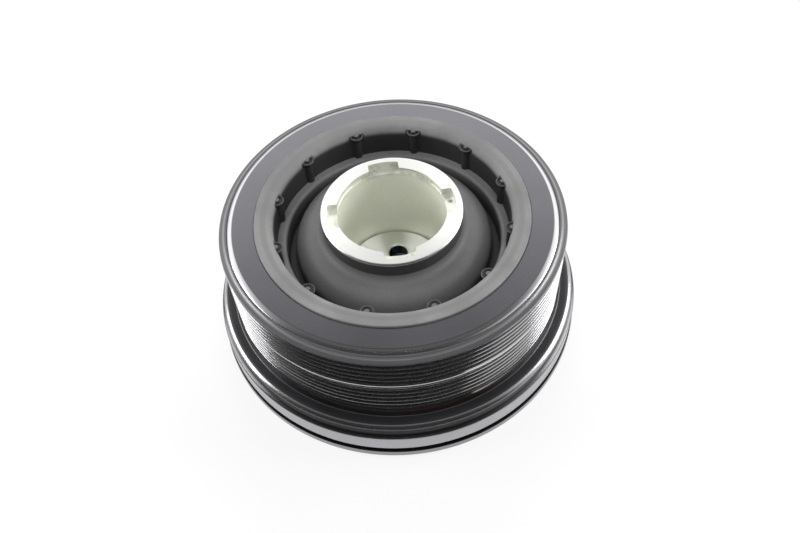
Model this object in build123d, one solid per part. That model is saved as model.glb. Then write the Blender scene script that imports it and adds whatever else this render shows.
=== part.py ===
from build123d import *
import os

# Harmonic balancer with a double ribbed belt track. Sizes are in millimetres.
# The origin is the centre of the rear resting face; +Z is the crank axis, towards the front.

os.makedirs("parts", exist_ok=True)

# ---- belt track -----------------------------------------------------------------------------
RIB_PITCH = 3.56          # standard ribbed-belt pitch
MOUTH = 2.56              # width of a belt groove at the outside
ROOT = 0.50               # width of a belt groove at its root
GROOVE_DEPTH = 2.9
UPPER_GROOVE_COUNT = 5
LOWER_GROOVE_COUNT = 6
MID_LAND = 2.5            # plain land between the two belts
PLAIN_BAND = 6.94         # plain band behind the second belt
R_TRACK = 90.3            # outside of the belt track and its rim
RIM_THICK = 1.7           # rim in front of the first groove
RIM_WIDTH = 4.3           # from the pulley's front opening out to the rim
COLLAR_RISE = 1.0         # thin collar round that opening
SHELL_WALL = 2.9          # wall left under the groove roots

# ---- rear shoulder, drive ring, isolating rubber and rear plate -------------------------------
SHOULDER_STEP = 8.2       # shoulder outside the belt track
SHOULDER_THICK = 6.0
SHOULDER_CORNER = 4.2
DRIVE_STEP = 1.7          # drive ring outside the shoulder
DRIVE_THICK = 12.35
DRIVE_CORNER = 0.9
DRIVE_CLEAR = 0.6         # from the rubber sleeve
ISOLATOR_THICK = 2.55
ISOLATOR_RECESS = 2.9     # how far it stands back in its slot
ISOLATOR_MARGIN = 3.0     # the same at the inner edge
PLATE_STEP = 0.7          # rear plate outside the drive ring
PLATE_THICK = 5.3
PLATE_CORNER = 1.6
PLATE_REACH = 5.2         # rear plate inwards of the carrier sleeve

# ---- inertia ring and bearing bush ------------------------------------------------------------
FACE_RISE = 1.9           # front face of the ring above the pulley's rim
RING_SHARE = 156 / 311    # its part of the room from bush to hub; the domed web has the rest
RING_CORNER = 2.6
RING_FLANGE = 5.4         # front flange that covers the bush
RING_CLEAR = 3.8          # clearance between ring and drive ring
BUSH_THICK = 2.5
BUSH_END_GAP = 2.0
FLANGE_GAP = 1.0          # gap under the front flange
SHELL_GAP = 0.25          # running gap between ring and pulley at the front

# ---- damping rubber ---------------------------------------------------------------------------
SLEEVE_THICK = 3.0
LIP_RISE = 1.1            # rubber lip above the ring's face
LIP_WIDTH = 9.6
LIP_CORNER = 4.6
LIP_HEIGHT = 13.5
LIP_GAP = 0.8             # moulded relief between lip and ring
LIP_GAP_DEPTH = 2.0
WALL_DEPTH = 18.0         # from the top of the lip to the front edge of the carrier sleeve
LIP_OVERHANG = 1.4        # lip wall inwards of the bonded face
COLUMNS = 12
COLUMN_ANGLE = 16.0
COLUMN_R = 2.4
CAP_R = 4.0
CAP_HEIGHT = 3.0
CAP_DROP = 2.6            # top of the column caps under the top of the lip
NUB_R = 1.2
NUB_HEIGHT = 0.7

# ---- hub ----------------------------------------------------------------------------------------
HUB_RISE = 1.6            # machined end above the rubber lip
R_HUB = 36.9
HUB_CORNER = 0.6
COLLAR_LAND = 0.016       # edge of the web's collar round the hub, as a share of the dome's width
COLLAR_HEIGHT = 0.284     # share of the dome's width
COLLAR_FILLET = 0.270     # share of the dome's width
R_CUP = 28.5
CUP_DEPTH = 51.6
CUP_RELIEF = 0.4          # shallow relief at the mouth of the cup
FLOOR_GROOVE = 1.1        # turned groove round the cup floor
FLOOR_GROOVE_DEPTH = 1.2
FLOOR_THICK = 12.0
DOME_DROP = 13.3          # crown of the domed web under the machined end
DOME_CORNER = 0.697       # share of the dome's width
CHANNEL_WIDTH = 4.8       # at its floor, between dome and carrier sleeve
CHANNEL_DEPTH = 12.5      # below the front edge of the carrier sleeve
CHANNEL_FILLET = 2.2
CARRIER_WALL = 6.2        # sleeve that carries the damping rubber, pressed on the web
CARRIER_CORNER = 1.8
WEB_THICK = 9.0
WEB_RELIEF = 0.42         # hollow behind the dome, as a share of the dome's width
WEB_FILLET = 0.29         # share of the web's seat inwards of the carrier sleeve
R_SPIGOT = 24.0           # register on the crank side
SPIGOT_DEPTH = 3.0
REAR_CHAMFER = 1.2
SLOT_WIDTH = 16.3
SLOT_DEPTH = 3.8
SLOT_REACH = 5.1          # tool slots outwards of the cup
SLOT_ANGLE = 5.5
BOLT_COUNT = 4
BOLT_CIRCLE_R = 12.4
BOLT_R = 5.45
BOLT_CHAMFER = 0.8
BOLT_ANGLE = 81.3

# ---- radii that follow -----------------------------------------------------------------------------
R_ROOT = R_TRACK - GROOVE_DEPTH
R_SHELL = R_ROOT - SHELL_WALL
R_BUSH = R_SHELL - BUSH_THICK
R_OPENING = R_TRACK - RIM_WIDTH
R_RING = R_OPENING - SHELL_GAP
R_SLEEVE = R_BUSH - RING_SHARE * (R_BUSH - R_HUB - SLEEVE_THICK - CARRIER_WALL - CHANNEL_WIDTH)
R_CARRIER = R_SLEEVE - SLEEVE_THICK
R_CARRIER_IN = R_CARRIER - CARRIER_WALL
R_WALL = R_CARRIER - LIP_OVERHANG
R_LIP = R_WALL + LIP_WIDTH
R_DOME = R_CARRIER_IN - CHANNEL_WIDTH
DOME_WIDTH = R_DOME - R_HUB
R_COLLAR = R_HUB + COLLAR_LAND * DOME_WIDTH
R_WEB_IN = R_HUB + WEB_RELIEF * DOME_WIDTH
R_WEB_ROUND = WEB_FILLET * (R_CARRIER_IN - R_WEB_IN)
R_SHOULDER = R_TRACK + SHOULDER_STEP
R_DRIVE = R_SHOULDER + DRIVE_STEP
R_DRIVE_IN = R_SLEEVE + DRIVE_CLEAR
R_PLATE = R_DRIVE + PLATE_STEP
R_PLATE_IN = R_CARRIER_IN - PLATE_REACH

# ---- heights, stacked up from the rear resting face ------------------------------------------------
Z_ISOLATOR = PLATE_THICK
Z_DRIVE = Z_ISOLATOR + ISOLATOR_THICK
Z_PULLEY = Z_DRIVE + DRIVE_THICK
Z_SHOULDER = Z_PULLEY + SHOULDER_THICK
Z_LOWER = Z_SHOULDER + PLAIN_BAND + (LOWER_GROOVE_COUNT - 1) * RIB_PITCH + MOUTH
Z_UPPER = Z_LOWER + MID_LAND + (UPPER_GROOVE_COUNT - 1) * RIB_PITCH + MOUTH
Z_RIM = Z_UPPER + RIM_THICK
Z_FACE = Z_RIM + FACE_RISE
Z_LIP = Z_FACE + LIP_RISE
Z_HUB = Z_LIP + HUB_RISE
Z_FLANGE = Z_FACE - RING_FLANGE
Z_RING = Z_PULLEY + RING_CLEAR
Z_LEDGE = Z_LIP - WALL_DEPTH
Z_LIP_SEAT = Z_LIP - LIP_HEIGHT
Z_DOME = Z_HUB - DOME_DROP
Z_COLLAR = Z_DOME + COLLAR_HEIGHT * DOME_WIDTH
Z_CHANNEL = Z_LEDGE - CHANNEL_DEPTH
Z_WEB = Z_CHANNEL - WEB_THICK
Z_FLOOR = Z_HUB - CUP_DEPTH
Z_SEAT = Z_FLOOR - FLOOR_THICK


def turned(points):
    """Solid of revolution about Z. Each point is (radius, height) or (radius, height, fillet)."""
    outline = make_face(Polyline(*[(p[0], 0, p[1]) for p in points], close=True))
    for p in points:
        if len(p) == 3:
            corner = outline.vertices().sort_by_distance((p[0], 0, p[1]))[0]
            outline = fillet(corner, p[2])
    return revolve(outline, Axis.Z, 360)


def around(shape, count, first_angle):
    """Copies of a shape, evenly spaced about Z."""
    return [Rot(0, 0, first_angle + 360 / count * k) * shape for k in range(count)]


# ---- hub: cup, tool slots, bolt holes and crank register ---------------------------------------------
hub = turned([
    (R_CUP + CUP_RELIEF, Z_HUB), (R_HUB, Z_HUB, HUB_CORNER),
    (R_HUB, Z_SEAT + REAR_CHAMFER), (R_HUB - REAR_CHAMFER, Z_SEAT),
    (R_SPIGOT, Z_SEAT), (R_SPIGOT, Z_SEAT + SPIGOT_DEPTH),
    (0, Z_SEAT + SPIGOT_DEPTH), (0, Z_FLOOR),
    (R_CUP - FLOOR_GROOVE, Z_FLOOR), (R_CUP - FLOOR_GROOVE, Z_FLOOR - FLOOR_GROOVE_DEPTH),
    (R_CUP, Z_FLOOR - FLOOR_GROOVE_DEPTH), (R_CUP, Z_HUB - SLOT_DEPTH),
    (R_CUP + CUP_RELIEF, Z_HUB - SLOT_DEPTH),
])
slots = Box(2 * (R_CUP + SLOT_REACH), SLOT_WIDTH, SLOT_DEPTH)
slots += Rot(0, 0, 90) * slots
slots &= Cylinder(R_CUP + SLOT_REACH, SLOT_DEPTH)
hub -= Pos(0, 0, Z_HUB - SLOT_DEPTH / 2) * Rot(0, 0, SLOT_ANGLE) * slots
hole = Pos(0, 0, (Z_FLOOR + Z_SEAT) / 2) * Cylinder(BOLT_R, FLOOR_THICK)
hole += Pos(0, 0, Z_FLOOR - BOLT_CHAMFER / 2) * Cone(BOLT_R, BOLT_R + BOLT_CHAMFER, BOLT_CHAMFER)
hub -= around(Pos(BOLT_CIRCLE_R, 0, 0) * hole, BOLT_COUNT, BOLT_ANGLE)
export_step(hub, "parts/hub.step")

# ---- domed web, welded round the hub -----------------------------------------------------------------
web = turned([
    (R_HUB, Z_COLLAR), (R_COLLAR, Z_COLLAR), (R_COLLAR, Z_DOME, COLLAR_FILLET * DOME_WIDTH),
    (R_DOME, Z_DOME, DOME_CORNER * DOME_WIDTH), (R_DOME, Z_CHANNEL, CHANNEL_FILLET),
    (R_CARRIER_IN, Z_CHANNEL), (R_CARRIER_IN, Z_WEB),
    (R_WEB_IN, Z_WEB, R_WEB_ROUND), (R_WEB_IN, Z_CHANNEL), (R_HUB, Z_CHANNEL),
])
export_step(web, "parts/hub_web.step")

# ---- carrier sleeve, pressed on the web ------------------------------------------------------------
carrier = turned([
    (R_CARRIER_IN, PLATE_THICK), (R_CARRIER, PLATE_THICK), (R_CARRIER, Z_LEDGE),
    (R_CARRIER_IN, Z_LEDGE, CARRIER_CORNER),
])
export_step(carrier, "parts/carrier_sleeve.step")

# ---- damping rubber: bonded sleeve, raised lip and moulded columns ---------------------------------
rubber = turned([
    (R_CARRIER, Z_RING), (R_SLEEVE, Z_RING), (R_SLEEVE, Z_LIP_SEAT), (R_LIP, Z_LIP_SEAT),
    (R_LIP, Z_LIP), (R_WALL, Z_LIP, LIP_CORNER), (R_WALL, Z_LEDGE), (R_CARRIER, Z_LEDGE),
])
z_cap = Z_LIP - CAP_DROP
z_neck = z_cap - CAP_HEIGHT
shaft = Pos(R_WALL, 0, (Z_LEDGE + z_neck) / 2) * Cylinder(COLUMN_R, z_neck - Z_LEDGE)
cap = loft([Pos(R_WALL, 0, z_neck) * Circle(COLUMN_R),
            Pos(R_WALL + CAP_R - COLUMN_R, 0, z_cap) * Circle(CAP_R)])
nub = Pos(R_WALL, 0, z_cap + NUB_HEIGHT / 2) * Cylinder(NUB_R, NUB_HEIGHT)
rubber += around(shaft + cap + nub, COLUMNS, COLUMN_ANGLE)
export_step(rubber, "parts/damping_rubber.step")

# ---- inertia ring ------------------------------------------------------------------------------------
inertia = turned([
    (R_SLEEVE, Z_RING), (R_BUSH, Z_RING), (R_BUSH, Z_FLANGE), (R_RING, Z_FLANGE),
    (R_RING, Z_FACE, RING_CORNER), (R_LIP + LIP_GAP, Z_FACE, LIP_GAP / 2),
    (R_LIP + LIP_GAP, Z_FACE - LIP_GAP_DEPTH), (R_LIP, Z_FACE - LIP_GAP_DEPTH),
    (R_LIP, Z_LIP_SEAT), (R_SLEEVE, Z_LIP_SEAT),
])
export_step(inertia, "parts/inertia_ring.step")


# ---- belt pulley ---------------------------------------------------------------------------------------
def grooves(z_front, count):
    """Points down the outside of one rib group, whose first groove begins at z_front."""
    flank = (MOUTH - ROOT) / 2
    out = []
    for i in range(count):
        z = z_front - i * RIB_PITCH
        out += [(R_TRACK, z), (R_ROOT, z - flank), (R_ROOT, z - flank - ROOT), (R_TRACK, z - MOUTH)]
    return out


pulley = turned(
    [(R_OPENING, Z_FLANGE - FLANGE_GAP), (R_OPENING, Z_RIM + COLLAR_RISE),
     (R_OPENING + COLLAR_RISE, Z_RIM + COLLAR_RISE), (R_OPENING + 2 * COLLAR_RISE, Z_RIM),
     (R_TRACK, Z_RIM, RIM_THICK / 4)]
    + grooves(Z_UPPER, UPPER_GROOVE_COUNT) + grooves(Z_LOWER, LOWER_GROOVE_COUNT)
    + [(R_TRACK, Z_SHOULDER), (R_SHOULDER, Z_SHOULDER, SHOULDER_CORNER),
       (R_SHOULDER, Z_PULLEY), (R_SHELL, Z_PULLEY), (R_SHELL, Z_FLANGE - FLANGE_GAP)])
export_step(pulley, "parts/belt_pulley.step")

# ---- bearing bush between inertia ring and pulley ---------------------------------------------------------
bush = turned([
    (R_BUSH, Z_RING + BUSH_END_GAP), (R_SHELL, Z_RING + BUSH_END_GAP),
    (R_SHELL, Z_FLANGE - BUSH_END_GAP), (R_BUSH, Z_FLANGE - BUSH_END_GAP),
])
export_step(bush, "parts/bearing_bush.step")

# ---- drive ring, isolating rubber and rear plate ------------------------------------------------------------
drive = turned([
    (R_DRIVE_IN, Z_DRIVE), (R_DRIVE, Z_DRIVE),
    (R_DRIVE, Z_PULLEY - DRIVE_CORNER), (R_SHOULDER, Z_PULLEY), (R_DRIVE_IN, Z_PULLEY),
])
export_step(drive, "parts/drive_ring.step")

isolator = turned([
    (R_DRIVE_IN + ISOLATOR_MARGIN, Z_ISOLATOR), (R_DRIVE - ISOLATOR_RECESS, Z_ISOLATOR),
    (R_DRIVE - ISOLATOR_RECESS, Z_DRIVE), (R_DRIVE_IN + ISOLATOR_MARGIN, Z_DRIVE),
])
export_step(isolator, "parts/isolating_rubber.step")

plate = turned([
    (R_PLATE_IN, 0), (R_PLATE, 0, PLATE_CORNER), (R_PLATE, PLATE_THICK), (R_PLATE_IN, PLATE_THICK),
])
export_step(plate, "parts/rear_plate.step")
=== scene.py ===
import bpy, math
from math import cos, radians, sin, tan
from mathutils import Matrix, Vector


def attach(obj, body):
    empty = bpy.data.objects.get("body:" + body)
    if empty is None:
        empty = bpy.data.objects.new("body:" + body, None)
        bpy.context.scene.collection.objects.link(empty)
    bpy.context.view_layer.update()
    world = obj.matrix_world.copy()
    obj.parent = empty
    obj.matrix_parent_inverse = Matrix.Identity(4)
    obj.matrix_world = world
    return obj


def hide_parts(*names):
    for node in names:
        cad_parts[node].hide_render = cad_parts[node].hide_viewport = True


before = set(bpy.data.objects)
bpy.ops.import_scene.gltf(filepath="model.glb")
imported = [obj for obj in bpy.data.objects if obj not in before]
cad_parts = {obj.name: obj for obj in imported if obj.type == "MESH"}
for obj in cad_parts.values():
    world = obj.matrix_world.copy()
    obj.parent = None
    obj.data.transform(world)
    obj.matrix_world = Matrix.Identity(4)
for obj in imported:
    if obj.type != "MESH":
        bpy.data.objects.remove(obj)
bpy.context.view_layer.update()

# Harmonic balancer. Sizes are in millimetres and turned into metres by MM.
MM = 0.001
STEPS = 180               # sides of a turned piece
SAME = 0.002 * MM         # points closer than this are one

# ---- heights, from the rear resting face ----
Z_ISOLATOR, Z_DRIVE, Z_PULLEY, Z_SHOULDER = 5.3, 7.85, 20.2, 26.2
Z_LOWER, Z_UPPER, Z_RIM = 53.5, 72.8, 74.5
Z_FACE, Z_LIP, Z_HUB = 76.4, 77.5, 79.1
Z_FLANGE, Z_RING, Z_LEDGE, Z_LIP_SEAT = 71.0, 24.0, 59.5, 64.0
Z_DOME, Z_CHANNEL, Z_WEB, Z_FLOOR, Z_SEAT = 65.8, 47.0, 38.0, 27.5, 15.5

# ---- radii ----
R_TRACK, R_ROOT, R_SHELL, R_BUSH = 90.3, 87.4, 84.5, 82.0
R_OPENING, R_RING, R_SLEEVE = 86.0, 85.75, 66.4
R_CARRIER, R_WALL, R_LIP, R_CARRIER_IN, R_DOME = 63.4, 62.0, 71.6, 57.2, 52.4
R_HUB, R_CUP, R_SPIGOT = 36.9, 28.5, 24.0
R_SHOULDER, R_DRIVE, R_DRIVE_IN, R_PLATE, R_PLATE_IN = 98.5, 100.2, 67.0, 100.9, 52.0

# ---- belt grooves, in millimetres: pitch, width at the mouth and at the root, lean of the rib tips ----
RIB_PITCH, MOUTH, ROOT, TIP_LEAN = 3.56, 2.56, 0.50, 0.08
FRONT_GROOVES, REAR_GROOVES = 5, 6

# ---- tool slots and bolt holes in the hub ----
SLOT_HALF_WIDTH, SLOT_REACH, SLOT_DEPTH, SLOT_TURN = 8.15, 33.6, 3.8, radians(5.5)
BOLTS, BOLT_CIRCLE, BOLT_RADIUS, BOLT_TURN = 4, 12.4, 5.45, radians(81.3)

# ---- moulded columns in the damping rubber ----
COLUMNS, COLUMN_TURN = 12, radians(16)
R_COLUMNS = R_WALL + 0.4

# ---- studio, in metres ----
R_CARD, CARD_SIZE, CARD_LIFT = 0.116, 13.8, 0.0004    # inner radius; outer radius in inner ones; height
CARD_FRONT, CARD_EDGE = radians(250), 0.086           # which way the card lies, and how far off its straight edge is
FLOOR_GLOW = 0.72
LOOK_DOWN, ROLL = radians(90 - 52.4299), -0.0718501   # of the camera


# ---- modelling -----------------------------------------------------------------------------------

def hold(piece, *others):
    """Selects a piece, and others with it, and makes it the active one."""
    bpy.ops.object.select_all(action="DESELECT")
    for one in (*others, piece):
        one.select_set(True)
    bpy.context.view_layer.objects.active = piece


def pick(piece, test):
    """Selects the vertices of a piece, in edit mode, whose place passes the test."""
    bpy.ops.mesh.select_all(action="DESELECT")
    bpy.ops.object.mode_set(mode="OBJECT")
    for v in piece.data.vertices:
        v.select = test(v.co)
    bpy.ops.object.mode_set(mode="EDIT")


def run_off(points, i):
    """Distance from a corner of the outline to where its rounding begins."""
    (ax, az), (bx, bz), (cx, cz) = [points[j % len(points)][:2] for j in (i - 1, i, i + 1)]
    turn = math.atan2(cz - bz, cx - bx) - math.atan2(bz - az, bx - ax)
    turn = abs((turn + math.pi) % (2 * math.pi) - math.pi)
    return points[i][2] * tan(turn / 2)


def held(points):
    """The outline with a plain point just beyond each rounding, so that the flats stay flat when shaded."""
    beyond = 0.06
    reach = [run_off(points, i) if len(p) == 3 else 0 for i, p in enumerate(points)]
    out = []
    for i, p in enumerate(points):
        sides = []
        for j in (i - 1, (i + 1) % len(points)):
            q = points[j]
            length = math.dist(p[:2], q[:2])
            fits = len(p) == 3 and length > reach[i] + reach[j] + 3 * beyond
            share = (reach[i] + beyond) / length if fits else 0
            sides.append([(p[0] + (q[0] - p[0]) * share, p[1] + (q[1] - p[1]) * share)] if fits else [])
        out += sides[0] + [p] + sides[1]
    return out


def turned(name, points, steps=STEPS):
    """A lathe-turned piece. The outline's corners are (radius, height) or (radius, height, rounding)."""
    bpy.ops.object.select_all(action="DESELECT")
    points = held(points)
    x, z = points[0][:2]
    bpy.ops.mesh.primitive_plane_add(size=MM, location=(0, 0, 0))
    piece = bpy.context.object
    piece.name = name
    bpy.ops.object.mode_set(mode="EDIT")
    bpy.ops.mesh.merge(type="CENTER")
    bpy.ops.transform.translate(value=(x * MM, 0, z * MM))
    for p in points[1:] + points[:1]:
        bpy.ops.mesh.extrude_region_move(
            TRANSFORM_OT_translate={"value": ((p[0] - x) * MM, 0, (p[1] - z) * MM)})
        x, z = p[:2]
    bpy.ops.mesh.select_all(action="SELECT")
    bpy.ops.mesh.remove_doubles(threshold=SAME)
    for i, p in enumerate(points):
        if len(p) == 3:
            pick(piece, lambda co: math.hypot(co.x - p[0] * MM, co.z - p[1] * MM) < SAME)
            bpy.ops.mesh.bevel(offset=run_off(points, i) * MM, affect="VERTICES",
                               segments=max(3, min(10, round(p[2] * 2.5))), clamp_overlap=False)
    bpy.ops.mesh.select_all(action="SELECT")
    bpy.ops.mesh.spin(steps=steps, angle=2 * math.pi, center=(0, 0, 0), axis=(0, 0, 1))
    bpy.ops.mesh.select_all(action="SELECT")
    bpy.ops.mesh.remove_doubles(threshold=SAME)
    bpy.ops.mesh.normals_make_consistent(inside=False)
    bpy.ops.object.mode_set(mode="OBJECT")
    return piece


def settle(piece):
    """Leaves a piece at the origin, unturned, with its place in its mesh."""
    hold(piece)
    bpy.ops.object.transform_apply(location=True, rotation=True, scale=True)
    return piece


def cut(piece, tool):
    """Cuts the tool out of a piece."""
    hold(piece)
    cutter = piece.modifiers.new("cut", "BOOLEAN")
    cutter.operation, cutter.solver, cutter.object = "DIFFERENCE", "EXACT", tool
    bpy.ops.object.modifier_apply(modifier="cut")
    bpy.data.objects.remove(tool)


def joined(piece, others):
    """Joins other meshes into a piece."""
    hold(piece, *others)
    bpy.ops.object.join()


def copied(piece, turn):
    """A copy of a piece with its own mesh, turned about the crank axis."""
    twin = piece.copy()
    twin.data = piece.data.copy()
    bpy.context.scene.collection.objects.link(twin)
    twin.rotation_euler.z = turn
    return settle(twin)


def finished(piece, node, material, angle=32):
    """Shades a piece, gives it its finish and lets it stand for its node."""
    hold(piece)
    bpy.ops.object.shade_smooth_by_angle(angle=radians(angle))
    piece.data.materials.clear()
    piece.data.materials.append(material)
    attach(piece, "root")
    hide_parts(node)


# ---- materials -----------------------------------------------------------------------------------

class Wire:
    """A socket in a node tree. Arithmetic on it adds Math nodes."""

    def __init__(self, tree, socket=None):
        self.tree, self.socket = tree, socket

    def node(self, kind, settings=None, inputs=None, out=0):
        """Adds a node: its settings are set first, then the values or wires of its sockets."""
        made = self.tree.nodes.new(kind)
        for key, value in (settings or {}).items():
            setattr(made, key, value)
        for key, value in (inputs or {}).items():
            if isinstance(value, Wire):
                self.tree.links.new(value.socket, made.inputs[key])
            else:
                made.inputs[key].default_value = value
        return Wire(self.tree, made.outputs[out])

    def maths(self, operation, *values):
        return self.node("ShaderNodeMath", {"operation": operation}, dict(enumerate(values)))

    def __add__(self, other): return self.maths("ADD", self, other)
    def __radd__(self, other): return self.maths("ADD", other, self)
    def __sub__(self, other): return self.maths("SUBTRACT", self, other)
    def __rsub__(self, other): return self.maths("SUBTRACT", other, self)
    def __mul__(self, other): return self.maths("MULTIPLY", self, other)
    def __rmul__(self, other): return self.maths("MULTIPLY", other, self)
    def __truediv__(self, other): return self.maths("DIVIDE", self, other)
    def __pow__(self, other): return self.maths("POWER", self, other)

    def step(self, low, high):
        """0 below low, 1 above high, smooth between."""
        return self.node("ShaderNodeMapRange", {"interpolation_type": "SMOOTHSTEP"},
                         {"Value": self, "From Min": low, "From Max": high})

    def near(self, place, reach):
        """1 at place, falling to 0 at reach from it."""
        return 1 - self.maths("ABSOLUTE", self - place).step(reach * 0.5, reach)

    def between(self, a, b):
        """Mixes two colours by this value."""
        a, b = [c if isinstance(c, Wire) else tuple(c) + (1.0,) for c in (a, b)]
        return self.node("ShaderNodeMix", {"data_type": "RGBA", "clamp_factor": True},
                         {0: self, 6: a, 7: b}, out=2)

    def noise(self, scale, detail=3.0, rough=0.5):
        """Noise at this place, 0 to 1."""
        return self.node("ShaderNodeTexNoise", {},
                         {"Vector": self, "Scale": scale, "Detail": detail, "Roughness": rough})

    def parts(self):
        """The x, y and z of this vector."""
        split = self.node("ShaderNodeSeparateXYZ", {}, {0: self}).socket.node
        return [Wire(self.tree, socket) for socket in split.outputs]


def finish(name, **fixed):
    """A new material with its fixed values, and four wires: where a point is on the piece,
    and its radius, its height and its (x, y) in millimetres."""
    material = bpy.data.materials.new(name)
    material.use_nodes = True
    tree = material.node_tree
    shader = tree.nodes["Principled BSDF"]
    for key, value in fixed.items():
        shader.inputs[key.replace("_", " ")].default_value = value
    here = Wire(tree).node("ShaderNodeTexCoord", out=3)
    x, y, z = here.parts()
    radius = (x * x + y * y) ** 0.5 * 1000
    return material, here, radius, z * 1000, (x * 1000, y * 1000)


def feed(material, **wires):
    """Links wires to the shader's sockets."""
    tree = material.node_tree
    for key, wire in wires.items():
        tree.links.new(wire.socket, tree.nodes["Principled BSDF"].inputs[key.replace("_", " ")])


def lathe_marks(here, radius, height, flat, fineness):
    """Fine rings left by a turning tool."""
    x, y = flat
    place = here.node("ShaderNodeCombineXYZ", {},
                      {0: x / radius, 1: y / radius, 2: (radius + height) * fineness})
    return place.noise(1.0, 2.0, 0.6)


def dust(here):
    """Scattered pale specks."""
    return here.noise(1600.0, 1.0).step(0.74, 0.80) * here.noise(60.0, 2.0).step(0.55, 0.7)


def bump(here, height, strength, distance):
    """Relief for the shader's Normal, with its distance in millimetres."""
    return here.node("ShaderNodeBump", {},
                     {"Strength": strength, "Distance": distance * MM, "Height": height})


def hub_finish():
    """Bright turned steel on the end, cup and seat; black phosphate over the neck, darkened there as painted shade;
    painted shade in the bolt holes and in the groove round the cup floor, and a painted sheen at the floor's left and
    right.
    """
    material, here, radius, height, flat = finish("hub steel", Anisotropic=0.6, Anisotropic_Rotation=0.25)
    ragged = here.noise(260.0, 3.0) * 0.7 - 0.35
    end = (height + ragged).step(Z_HUB - 1.5, Z_HUB - 1.1)
    cup = 1 - (radius + ragged * 0.3).step(R_CUP + 1.2, R_CUP + 1.6)
    slots = height.step(Z_HUB - 4.6, Z_HUB - 4.2) * (1 - radius.step(R_HUB - 0.9, R_HUB - 0.5))
    seat = 1 - (height + ragged).step(Z_SEAT + 0.8, Z_SEAT + 1.2)
    machined = here.maths("MAXIMUM", here.maths("MAXIMUM", end, cup), here.maths("MAXIMUM", seat, slots))
    rings = lathe_marks(here, radius, height, flat, 2.2)
    fine = lathe_marks(here, radius, height, flat, 9.0)
    cloud = here.noise(45.0, 4.0)
    stain = here.noise(22.0, 3.0, 0.6)
    grit = here.noise(650.0, 3.0, 0.7)
    below = 1 - height.step(Z_HUB - 2.2, Z_HUB - 0.3)
    wall = below * radius.step(R_CUP - 0.6, R_CUP - 0.3)
    floor = below * (1 - radius.step(R_CUP - 0.6, R_CUP - 0.3))
    mouth = wall * height.step(Z_HUB - 6.5, Z_HUB - 3.0) * here.noise(90.0, 4.0, 0.7).step(0.45, 0.65)
    # painted shade: the undercut groove round the cup floor is painted near black
    groove = floor * radius.step(R_CUP - 1.2, R_CUP - 1.0) * (1 - height.step(Z_FLOOR - 0.3, Z_FLOOR - 0.1))
    # painted sheen: the cup floor is less metallic, so paler, towards its left and right
    painted_sheen = floor * here.maths("ABSOLUTE", flat[0] / radius).step(0.15, 0.55)
    # painted shade: the bolt holes' walls are painted dark navy
    painted_hole_shade = floor * (1 - height.step(Z_FLOOR - 1.6, Z_FLOOR - 1.0)) * height.step(Z_SEAT + 3.2, Z_SEAT + 4.0)
    steel = rings.between((0.86, 0.86, 0.83), (0.98, 0.98, 0.96))
    steel = wall.between(steel, grit.between((0.78, 0.80, 0.70), (0.95, 0.96, 0.87)))
    steel = floor.between(steel, rings.between((0.84, 0.85, 0.81), (0.97, 0.98, 0.96)))
    steel = (mouth * 0.6).between(steel, (0.36, 0.35, 0.29))
    # a greasy smudge in the slot at the right
    far = ((flat[0] - 31.2) ** 2 + (flat[1] - 5.2) ** 2) ** 0.5
    clean = (far + 2.6 * here.noise(420.0, 3.0)).step(1.6, 3.4)
    smudge = (1 - clean) * height.step(Z_HUB - 6.0, Z_HUB - 5.0)
    steel = (0.85 * smudge).between(steel, (0.10, 0.095, 0.085))
    steel = (stain.step(0.62, 0.72) * 0.35 * (1 - below)).between(steel, (0.42, 0.38, 0.30))
    steel = groove.between(painted_hole_shade.between(steel, (0.045, 0.085, 0.115)), (0.03, 0.03, 0.03))
    # black phosphate on the neck, darkened further as painted shade below the bright end
    grey = (cloud * 0.5 + grit * 0.5).between((0.030, 0.0295, 0.0295), (0.058, 0.057, 0.057))
    feed(material,
         Base_Color=machined.between(grey, steel),
         Metallic=machined * (1 - 0.45 * wall - 0.8 * painted_sheen),
         Roughness=machined * (0.10 * rings - 0.06 + 0.10 * wall) + 0.32 + 0.10 * cloud,
         Normal=bump(here, machined * (rings * 0.6 + fine * 0.4) + (1 - machined + wall * 0.6) * grit * 0.6,
                     0.35, 0.06))
    return material


def web_finish(name, share=1.0):
    """Black phosphate on forged steel: even, satin and slightly grainy, with painted shade darkening it down in the
    channel.
    """
    material, here, _, height, _ = finish(name, Specular_IOR_Level=0.5)
    cloud = here.noise(60.0, 4.0)
    grain = here.noise(1000.0, 3.0, 0.7)
    speck = here.noise(1500.0, 1.0).step(0.76, 0.80) * here.noise(70.0, 2.0).step(0.58, 0.7)
    # share scales both tones; above 1 it makes a lighter copy, which is painted light
    dark, pale = [[part * share for part in tone] for tone in ((0.082, 0.080, 0.081), (0.215, 0.210, 0.212))]
    colour = (cloud * 0.35 + grain * 0.65).between(dark, pale)
    # painted shade: the colour darkens towards near black down in the channel
    painted_channel_shade_fade = 0.25 + 0.75 * height.step(Z_CHANNEL + 2.0, Z_LEDGE - 1.0)
    colour = painted_channel_shade_fade.between((0.012, 0.012, 0.012), colour)
    feed(material, Base_Color=(speck * 0.7).between(colour, (0.5, 0.5, 0.48)),
         Roughness=0.40 + 0.12 * grain + 0.06 * cloud,
         Normal=bump(here, grain, 0.4, 0.05))
    return material


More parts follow.
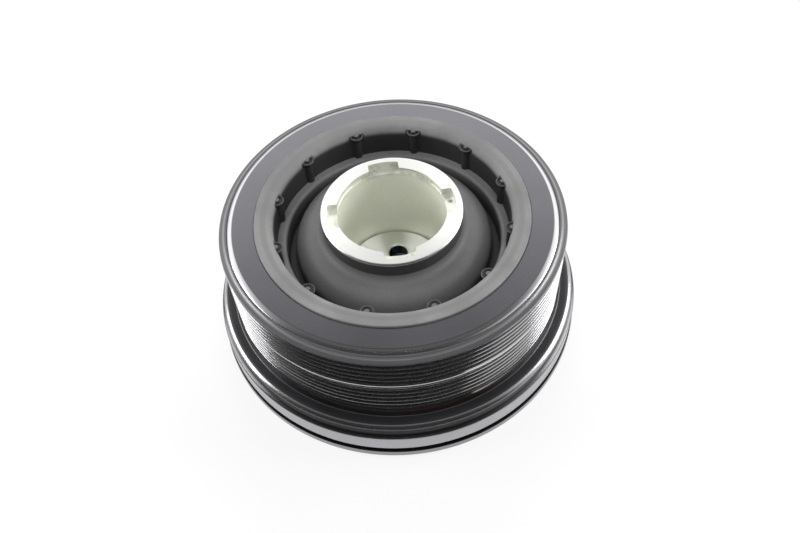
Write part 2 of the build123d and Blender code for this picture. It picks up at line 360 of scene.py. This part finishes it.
def coated_finish(name, dark, pale, top, fade):
    """Satin coating on turned steel, with a faint orange peel and a little dust; painted shade darkens it to black at
    the top, where the next part sits over it.
    """
    material, here, radius, height, flat = finish(name, Metallic=0.9, Anisotropic=0.3, Anisotropic_Rotation=0.25)
    cloud = here.noise(38.0, 4.0)
    peel = here.noise(700.0, 2.0)
    marks = lathe_marks(here, radius, height, flat, 3.0)
    speck = dust(here)
    colour = (cloud * 0.6 + marks * 0.4).between(dark, pale)
    colour = (speck * 0.6).between(colour, (0.55, 0.54, 0.52))
    # painted shade: black at the top, under the part above
    colour = height.step(top - fade, top - 0.15).between(colour, (0.045, 0.045, 0.047))
    feed(material, Base_Color=colour,
         Roughness=0.16 + 0.14 * cloud + 0.08 * marks + 0.2 * speck,
         Normal=bump(here, peel * 0.5 + marks * 0.5, 0.25, 0.04))
    return material


def rubber_finish(name, dark, pale, roughness):
    """Moulded rubber with a fine matt grain and a light, pale cloud of tone."""
    material, here, *_ = finish(name, Specular_IOR_Level=0.35)
    cloud = here.noise(30.0, 5.0, 0.6)
    grain = here.noise(1800.0, 2.0)
    pits = here.noise(520.0, 1.0).step(0.70, 0.78)
    colour = (cloud * 0.7 + grain * 0.3).between(dark, pale)
    feed(material, Base_Color=(pits * 0.35).between(colour, dark),
         Roughness=roughness - 0.06 + 0.14 * grain,
         Normal=bump(here, grain * 0.7 - pits * 0.6, 0.3, 0.06))
    return material


def damper_rubber_finish():
    """Black rubber, a mottled grey on the open lip and black down the wall under it; painted highlights on the column
    caps' rims and nubs, painted shade in the caps' dishes and in a shallow band on the lip.
    """
    material, here, radius, height, flat = finish("damper rubber", Specular_IOR_Level=0.35)
    cloud = here.noise(55.0, 5.0, 0.6)
    grain = here.noise(1800.0, 2.0)
    # a shallow band on the lip: bump relief, with painted shade darkening its grey
    shallow = radius.near(R_WALL + 4.9, 1.9)
    # the columns, counted round the wall: distance from the nearest column's middle
    x, y = flat
    spacing = 2 * math.pi / COLUMNS
    turn = here.maths("ARCTAN2", y, x) * (1 / spacing) - COLUMN_TURN / spacing + 0.5
    across = (here.maths("FRACT", turn + COLUMNS) - 0.5) * spacing * radius
    off = radius - R_COLUMNS
    middle = (across * across + off * off) ** 0.5
    cap = (1 - middle.step(4.2, 4.6)) * (1 - off.step(0.1, 0.5))
    # painted highlights on the caps' rims and nubs; the dish between them is left black as painted shade
    edge = height.step(Z_LIP - 3.0, Z_LIP - 2.7) * middle.step(2.6, 3.4)
    nub = height.step(Z_LIP - 2.4, Z_LIP - 2.1)
    # grey on the lip, turning black a few millimetres down the wall under it
    grey_up_top = (height + 1.6 * cloud).step(Z_LIP - 5.2, Z_LIP - 1.6)
    grey_top_and_cap_highlights = here.maths("MAXIMUM", grey_up_top * (1 - cap), cap * here.maths("MAXIMUM", edge * 0.24, nub * 0.55))
    mottle = here.noise(28.0, 6.0, 0.65).step(0.35, 0.65)
    grey = (mottle * 0.6 + grain * 0.4).between((0.175, 0.175, 0.174), (0.268, 0.268, 0.265))
    grey = (shallow * 0.5).between(grey, (0.172, 0.172, 0.172))
    black = (cloud * 0.5 + grain * 0.5).between((0.020, 0.019, 0.019), (0.048, 0.046, 0.046))
    feed(material, Base_Color=grey_top_and_cap_highlights.between(black, grey),
         Roughness=0.50 + 0.12 * grey_top_and_cap_highlights + 0.12 * grain,
         Normal=bump(here, grain * 0.7 - shallow * 0.8, 0.35, 0.08))
    return material


def ring_finish():
    """Dark satin coating on the ring's face; its rounded edge is rubbed back to bright iron."""
    material, here, radius, height, flat = finish("ring iron", Metallic=0.93)
    cloud = here.noise(38.0, 4.0)
    peel = here.noise(420.0, 2.0)
    marks = lathe_marks(here, radius, height, flat, 3.0)
    speck = dust(here)
    bead = radius.step(R_RING - 2.8, R_RING - 2.2) * height.step(Z_FLANGE - 1.0, Z_FLANGE)   # the crowned edge
    grain = here.noise(1100.0, 3.0, 0.7)
    coat = (cloud * 0.4 + grain * 0.6).between((0.120, 0.119, 0.130), (0.225, 0.222, 0.240))
    coat = (speck * 0.6).between(coat, (0.55, 0.54, 0.52))
    feed(material, Base_Color=bead.between(coat, (0.52, 0.52, 0.53)),
         Roughness=(0.16 + 0.09 * cloud + 0.05 * marks + 0.2 * speck) * (1 - bead) + 0.17 * bead,
         Normal=bump(here, (peel * 0.5 + marks * 0.5) * (1 - 0.8 * bead), 0.25, 0.04))
    return material


def pulley_finish():
    """Bright turned track with rubbed rib tips and a painted highlight on the land's lower edge; dull grey rim with a
    painted highlight line; black shoulder with a rubbed corner and painted shade low on its wall; a painted brown
    reflection on the plain band.
    """
    material, here, radius, height, flat = finish("pulley steel", Anisotropic=0.3, Anisotropic_Rotation=0.25)
    cloud = here.noise(38.0, 4.0)
    peel = here.noise(700.0, 2.0)
    marks = lathe_marks(here, radius, height, flat, 3.0)
    turned_tone = cloud * 0.6 + marks * 0.4
    rim = height.step(Z_RIM - 1.0, Z_RIM - 0.7)
    # painted highlight: a paler line on the rim, where its rounding catches light
    line = radius.near(R_OPENING + 1.7, 0.8)
    # the shoulder is black on top and bare round its corner; the black low on its wall is painted shade
    shoulder = (radius.step(R_TRACK - 0.6, R_TRACK - 0.4) * (1 - height.step(Z_SHOULDER + 0.1, Z_SHOULDER + 0.4))
                * (1 - radius.step(R_SHOULDER - 2.7, R_SHOULDER - 1.7)))
    corner = radius.step(R_SHOULDER - 4.2, R_SHOULDER - 3.0)
    painted_low_wall_shade = radius.step(R_SHOULDER - 0.9, R_SHOULDER - 0.4) * (1 - height.step(Z_PULLEY + 3.0, Z_PULLEY + 4.4))
    black = here.maths("MAXIMUM", shoulder, painted_low_wall_shade * 0.95)
    # the rib tips, without the middle land
    land = height.step(Z_LOWER + 0.35, Z_LOWER + 0.6) * (1 - height.step(Z_UPPER - 17.3, Z_UPPER - 17.0))
    grooved = (1 - rim) * height.step(Z_LOWER - 21.5, Z_LOWER - 20.8)
    outside = radius.step(R_TRACK - 0.18, R_TRACK - 0.05) * (1 - radius.step(R_TRACK + 0.2, R_TRACK + 0.5))
    tips = outside * grooved * (1 - land)
    # painted highlight: a pale, non-metallic line along the land's lower edge
    painted_land_edge_highlight = height.near(Z_LOWER + 0.25, 0.75) * radius.step(R_TRACK - 0.5, R_TRACK - 0.2)
    steel = turned_tone.between((0.40, 0.392, 0.402), (0.52, 0.510, 0.522))
    steel = painted_land_edge_highlight.between(steel, (0.80, 0.79, 0.80))
    # painted reflection: a brown tint on the plain band, at the side nearest to the front, stands in for a warm
    # reflection
    band = height.step(Z_SHOULDER, Z_SHOULDER + 0.5) * (1 - height.step(Z_LOWER - 21.5, Z_LOWER - 20.0))
    painted_brown_reflection = band * (0 - flat[1]).step(72, 86) * here.noise(16.0, 3.0).step(0.35, 0.60)
    steel = (painted_brown_reflection * 0.7).between(steel, (0.42, 0.30, 0.27))
    dull = turned_tone.between((0.10, 0.098, 0.103), (0.15, 0.147, 0.153))
    dull = line.between(dull, (0.25, 0.247, 0.255))
    coat = cloud.between((0.012, 0.0115, 0.013), (0.026, 0.025, 0.028))
    feed(material, Base_Color=black.between(rim.between(steel, dull), coat),
         Metallic=(1 - 0.04 * tips - 0.95 * painted_land_edge_highlight - 0.45 * rim) * (1 - black * 0.8),
         Roughness=(0.08 + 0.05 * cloud + 0.05 * marks + 0.05 * tips
                    + 0.24 * rim + 0.12 * corner + 0.15 * painted_land_edge_highlight + 0.24 * black),
         Normal=bump(here, marks * (1 - black) * (1 - rim) + peel * black, 0.12 + 0.1 * black, 0.03))
    return material


# ---- hub -----------------------------------------------------------------------------------------
hub = turned("hub_body", [
    (R_CUP + 0.4, Z_HUB, 0.25), (R_HUB, Z_HUB, 0.6),
    (R_HUB, Z_SEAT + 1.2), (R_HUB - 1.2, Z_SEAT),
    (R_SPIGOT, Z_SEAT, 0.3), (R_SPIGOT, Z_SEAT + 3.0, 0.3),
    (0, Z_SEAT + 3.0), (0, Z_FLOOR),
    (R_CUP - 1.1, Z_FLOOR, 0.2), (R_CUP - 1.1, Z_FLOOR - 1.2), (R_CUP, Z_FLOOR - 1.2, 0.3),
    (R_CUP, Z_HUB - 3.8, 0.15), (R_CUP + 0.4, Z_HUB - 3.8, 0.15),
])


def slot_tool(turn):
    """One bar of the cross of tool slots, from rim to rim; its lower half cuts the slots."""
    middle = (Z_HUB - SLOT_DEPTH + 4) * MM
    bpy.ops.object.select_all(action="DESELECT")
    bpy.ops.mesh.primitive_cylinder_add(vertices=STEPS, radius=SLOT_REACH * MM, depth=8 * MM, location=(0, 0, middle))
    bar = bpy.context.object
    bpy.ops.object.mode_set(mode="EDIT")
    for side in (1, -1):
        bpy.ops.mesh.select_all(action="SELECT")
        bpy.ops.mesh.bisect(plane_co=(0, side * SLOT_HALF_WIDTH * MM, middle), plane_no=(0, side, 0),
                            use_fill=True, clear_outer=True)
    bpy.ops.object.mode_set(mode="OBJECT")
    bar.rotation_euler.z = turn
    return settle(bar)


for k in range(2):
    cut(hub, slot_tool(SLOT_TURN + radians(90 * k)))
for k in range(BOLTS):
    at = BOLT_TURN + 2 * math.pi * k / BOLTS
    place = (BOLT_CIRCLE * MM * cos(at), BOLT_CIRCLE * MM * sin(at))
    bpy.ops.object.select_all(action="DESELECT")
    bpy.ops.mesh.primitive_cylinder_add(vertices=64, radius=BOLT_RADIUS * MM, depth=20 * MM,
                                        location=(*place, 22 * MM))
    cut(hub, settle(bpy.context.object))
    # the eased edge of the hole
    bpy.ops.mesh.primitive_cone_add(vertices=64, radius1=(BOLT_RADIUS - 0.2) * MM, radius2=(BOLT_RADIUS + 1.0) * MM,
                                    depth=1.2 * MM, location=(*place, (Z_FLOOR - 0.4) * MM))
    cut(hub, settle(bpy.context.object))
finished(hub, "hub", hub_finish(), angle=25)

# ---- domed web and carrier sleeve ----------------------------------------------------------------
web = turned("domed_web", [
    (R_HUB, Z_DOME + 4.4), (R_HUB + 0.1, Z_DOME + 4.4), (R_HUB + 0.1, Z_DOME, 4.3), (R_DOME, Z_DOME, 10.8),
    (R_DOME, Z_CHANNEL, 2.2), (R_CARRIER_IN, Z_CHANNEL, 0.3), (R_CARRIER_IN, Z_WEB),
    (R_DOME - 9.0, Z_WEB, 4.0), (R_DOME - 9.0, Z_CHANNEL, 0.5), (R_HUB, Z_CHANNEL),
])
finished(web, "hub_web", web_finish("web steel"))
carrier = turned("carrier_sleeve_body", [
    (R_CARRIER_IN, Z_ISOLATOR, 0.3), (R_CARRIER, Z_ISOLATOR), (R_CARRIER, Z_LEDGE), (R_CARRIER_IN, Z_LEDGE, 1.8),
])
# painted light: a 1.3 times lighter copy of the web's finish, for the carrier's lit ledge
finished(carrier, "carrier_sleeve", web_finish("carrier steel", 1.3))

# ---- damping rubber ------------------------------------------------------------------------------
rubber = turned("damping_rubber_lip", [
    (R_CARRIER, Z_RING), (R_SLEEVE, Z_RING), (R_SLEEVE, Z_LIP_SEAT), (R_LIP, Z_LIP_SEAT),
    (R_LIP, Z_LIP, 0.35), (R_WALL, Z_LIP, 4.6), (R_WALL, Z_LEDGE, 0.2), (R_CARRIER, Z_LEDGE),
])
# a column flares under its dished cap, which has a nub in the middle
column = turned("column", [
    (0, Z_LEDGE), (2.4, Z_LEDGE), (2.4, Z_LIP - 5.6, 0.3), (4.0, Z_LIP - 2.6, 0.4), (3.1, Z_LIP - 2.6, 0.3),
    (2.7, Z_LIP - 3.3, 0.2), (1.5, Z_LIP - 3.3, 0.2), (1.2, Z_LIP - 1.9, 0.3), (0, Z_LIP - 1.9),
], steps=32)
column.location.x = R_COLUMNS * MM
settle(column)
columns = [copied(column, COLUMN_TURN + 2 * math.pi * k / COLUMNS) for k in range(COLUMNS)]
bpy.data.objects.remove(column)
joined(rubber, columns)
finished(rubber, "damping_rubber", damper_rubber_finish())

# ---- inertia ring --------------------------------------------------------------------------------
inertia = turned("inertia_ring_body", [
    (R_SLEEVE, Z_RING), (R_BUSH, Z_RING), (R_BUSH, Z_FLANGE), (R_RING, Z_FLANGE),
    (R_RING, Z_FACE - 1.0, 0.2), (R_RING - 1.6, Z_FACE, 5.0), (R_LIP + 0.3, Z_FACE, 0.3),
    (R_LIP + 0.3, Z_FACE - 0.5), (R_LIP, Z_FACE - 0.5),
    (R_LIP, Z_LIP_SEAT), (R_SLEEVE, Z_LIP_SEAT),
])
finished(inertia, "inertia_ring", ring_finish())


# ---- belt pulley ---------------------------------------------------------------------------------
def grooves(z_front, count):
    """The outline down one group of belt grooves, with the ribs' edges eased."""
    flank = (MOUTH - ROOT) / 2
    out = []
    for i in range(count):
        z = z_front - i * RIB_PITCH
        out += [(R_TRACK, z, 0.25 if i else 0.5), (R_ROOT, z - flank, 0.15),
                (R_ROOT, z - flank - ROOT, 0.15), (R_TRACK - TIP_LEAN, z - MOUTH, 0.3)]
    return out


collar = [
    (R_OPENING, Z_FLANGE - 1), (R_OPENING, Z_RIM + 1.0, 0.2), (R_OPENING + 0.9, Z_RIM + 0.95, 0.5),
    (R_OPENING + 1.6, Z_RIM + 0.05, 0.4), (R_TRACK - 0.2, Z_RIM - 0.55, 0.5), (R_TRACK, Z_RIM - 1.2, 0.3),
]
band_and_shoulder = [
    (R_TRACK, Z_SHOULDER + 5.4, 1.0), (R_TRACK + 1.2, Z_SHOULDER, 0.5), (R_SHOULDER, Z_SHOULDER, 4.2),
    (R_SHOULDER, Z_PULLEY), (R_SHELL, Z_PULLEY), (R_SHELL, Z_FLANGE - 1),
]
pulley = turned("belt_pulley_body", collar + grooves(Z_UPPER, FRONT_GROOVES)
                + grooves(Z_LOWER, REAR_GROOVES) + band_and_shoulder)
finished(pulley, "belt_pulley", pulley_finish())

# ---- drive ring, isolating rubber and rear plate -------------------------------------------------
drive = turned("drive_ring_body", [
    (R_DRIVE_IN, Z_DRIVE, 0.5), (R_DRIVE, Z_DRIVE, 0.3),
    (R_DRIVE, Z_PULLEY - 1.3, 1.4), (R_SHOULDER - 0.2, Z_PULLEY, 0.6), (R_DRIVE_IN, Z_PULLEY, 0.3),
])
finished(drive, "drive_ring",
         coated_finish("drive steel", (0.34, 0.34, 0.355), (0.46, 0.46, 0.475), top=Z_PULLEY, fade=3.0))
isolator = turned("isolating_rubber_ring", [
    (R_DRIVE_IN + 3, Z_ISOLATOR), (R_DRIVE - 2.9, Z_ISOLATOR, 0.3),
    (R_DRIVE - 2.9, Z_DRIVE, 0.3), (R_DRIVE_IN + 3, Z_DRIVE),
])
finished(isolator, "isolating_rubber",
         rubber_finish("isolator rubber", (0.050, 0.050, 0.050), (0.080, 0.080, 0.080), 0.5))
plate = turned("rear_plate_body", [
    (R_PLATE_IN, 0, 0.8), (R_PLATE, 0, 1.6), (R_PLATE, Z_ISOLATOR, 0.4), (R_PLATE_IN, Z_ISOLATOR, 0.8),
])
finished(plate, "rear_plate",
         coated_finish("plate steel", (0.22, 0.22, 0.23), (0.30, 0.30, 0.31), top=Z_ISOLATOR, fade=0.35))

# the bush is sealed inside and keeps its own mesh
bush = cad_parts["bearing_bush"]
bush.data.materials.clear()
bush.data.materials.append(rubber_finish("bush plastic", (0.60, 0.58, 0.50), (0.72, 0.70, 0.62), 0.5))

# ---- floor, light and camera ---------------------------------------------------------------------
def matt_paint(name, tone):
    """A plain matt grey, for the stage."""
    material = bpy.data.materials.new(name)
    material.use_nodes = True
    shader = material.node_tree.nodes["Principled BSDF"]
    shader.inputs["Base Color"].default_value = (tone, tone, tone, 1)
    shader.inputs["Roughness"].default_value = 0.9
    return material


# Pale paper. Part of it glows to the camera, in metal and through glass, but not under the piece; the rest is shaded.
bpy.ops.object.select_all(action="DESELECT")
bpy.ops.mesh.primitive_plane_add(size=12, location=(0, 0, 0))
floor = bpy.context.object
floor.name = "floor"
paper = matt_paint("paper", 0.90)
tree = paper.node_tree
air = Wire(tree)
rays = air.node("ShaderNodeLightPath").socket.node.outputs
camera_ray, glossy_ray, clear_ray = [
    Wire(tree, rays[kind]) for kind in ("Is Camera Ray", "Is Glossy Ray", "Is Transmission Ray")]
white = air.node("ShaderNodeEmission", {}, {"Color": (1, 1, 1, 1), "Strength": 1.0})
x, y, _ = air.node("ShaderNodeTexCoord", out=3).parts()
open_floor = ((x * x + y * y) ** 0.5).step(0.094, 0.101)
glow = (camera_ray + glossy_ray + clear_ray) * FLOOR_GLOW * open_floor
matt = Wire(tree, tree.nodes["Principled BSDF"].outputs[0])
sheet = air.node("ShaderNodeMixShader", {}, {0: glow, 1: matt, 2: white})
tree.links.new(sheet.socket, tree.nodes["Material Output"].inputs["Surface"])
floor.data.materials.append(paper)


def soft_box(name, place, width, height, power):
    """An area lamp that faces the piece."""
    lamp = bpy.data.lights.new(name, "AREA")
    lamp.shape, lamp.size, lamp.size_y, lamp.energy = "RECTANGLE", width, height, power
    box = bpy.data.objects.new(name, lamp)
    box.location = place
    box.rotation_euler = (Vector((0, 0, 0.04)) - Vector(place)).to_track_quat("-Z", "Y").to_euler()
    bpy.context.scene.collection.objects.link(box)
    return box


soft_box("back_box", (0.1, 1.45, 1.10), 1.2, 0.65, 16).visible_glossy = False
soft_box("right_box", (1.25, 0.10, 0.40), 0.8, 0.8, 14)
soft_box("left_box", (-1.25, 0.10, 0.40), 0.8, 0.8, 12)
soft_box("fill_box", (0, -0.45, 1.25), 0.5, 0.5, 7).visible_glossy = False

# A black card on the floor in front, cut round the piece; it shows in reflections only.
bpy.ops.object.select_all(action="DESELECT")
bpy.ops.mesh.primitive_circle_add(vertices=96, radius=R_CARD, fill_type="NOTHING", location=(0, 0, CARD_LIFT))
card = bpy.context.object
card.name = "black_card"
front = Vector((cos(CARD_FRONT), sin(CARD_FRONT), 0))
bpy.ops.object.mode_set(mode="EDIT")
bpy.ops.mesh.select_all(action="SELECT")
bpy.ops.mesh.extrude_region_move()
bpy.ops.transform.resize(value=(CARD_SIZE, CARD_SIZE, 1), center_override=(0, 0, CARD_LIFT))
bpy.ops.mesh.select_all(action="SELECT")
bpy.ops.mesh.bisect(plane_co=CARD_EDGE * front, plane_no=front, clear_inner=True)
bpy.ops.object.mode_set(mode="OBJECT")
card.data.materials.append(matt_paint("black card", 0.01))
card.visible_camera = card.visible_diffuse = card.visible_shadow = card.visible_transmission = False

# White to the camera. For other rays a dome: bright behind and at the sides, dim overhead and, in metal, in front.
world = bpy.data.worlds.new("studio")
bpy.context.scene.world = world
world.use_nodes = True
tree = world.node_tree
tree.nodes.clear()
air = Wire(tree)
rays = air.node("ShaderNodeLightPath").socket.node.outputs
x, y, up = air.node("ShaderNodeTexCoord", out=0).parts()
in_front = (-0.34 * x - 0.94 * y).step(-0.05, 0.42)
soft = 0.50 - 0.42 * up.step(0.58, 0.88)
sharp = (1.9 - 1.75 * up.step(0.62, 0.91)) * (1 - 0.94 * in_front)
sharp = sharp * (0.30 + 0.70 * up.step(0.18, 0.40)) * (0.55 + 0.45 * y.step(0.05, 0.45))
level = soft + Wire(tree, rays["Is Glossy Ray"]) * (sharp - soft)
white = air.node("ShaderNodeBackground", {}, {"Color": (1, 1, 1, 1), "Strength": 1.0})
studio = air.node("ShaderNodeBackground", {}, {"Color": (1, 1, 1, 1), "Strength": level})
both = air.node("ShaderNodeMixShader", {}, {0: Wire(tree, rays["Is Camera Ray"]), 1: studio, 2: white})
tree.links.new(both.socket, tree.nodes.new("ShaderNodeOutputWorld").inputs["Surface"])
bpy.context.scene.view_settings.view_transform = "Standard"

camera = bpy.data.cameras.new("camera")
camera.lens, camera.sensor_width, camera.sensor_fit = 36.0, 36.0, "HORIZONTAL"
camera.clip_start = 0.01
eye = bpy.data.objects.new("camera", camera)
eye.rotation_mode = "ZYX"
eye.rotation_euler = (LOOK_DOWN, 0, ROLL)
eye.location = (0.0021907, -0.2753264, 0.3872893)
bpy.context.scene.collection.objects.link(eye)
bpy.context.scene.camera = eye
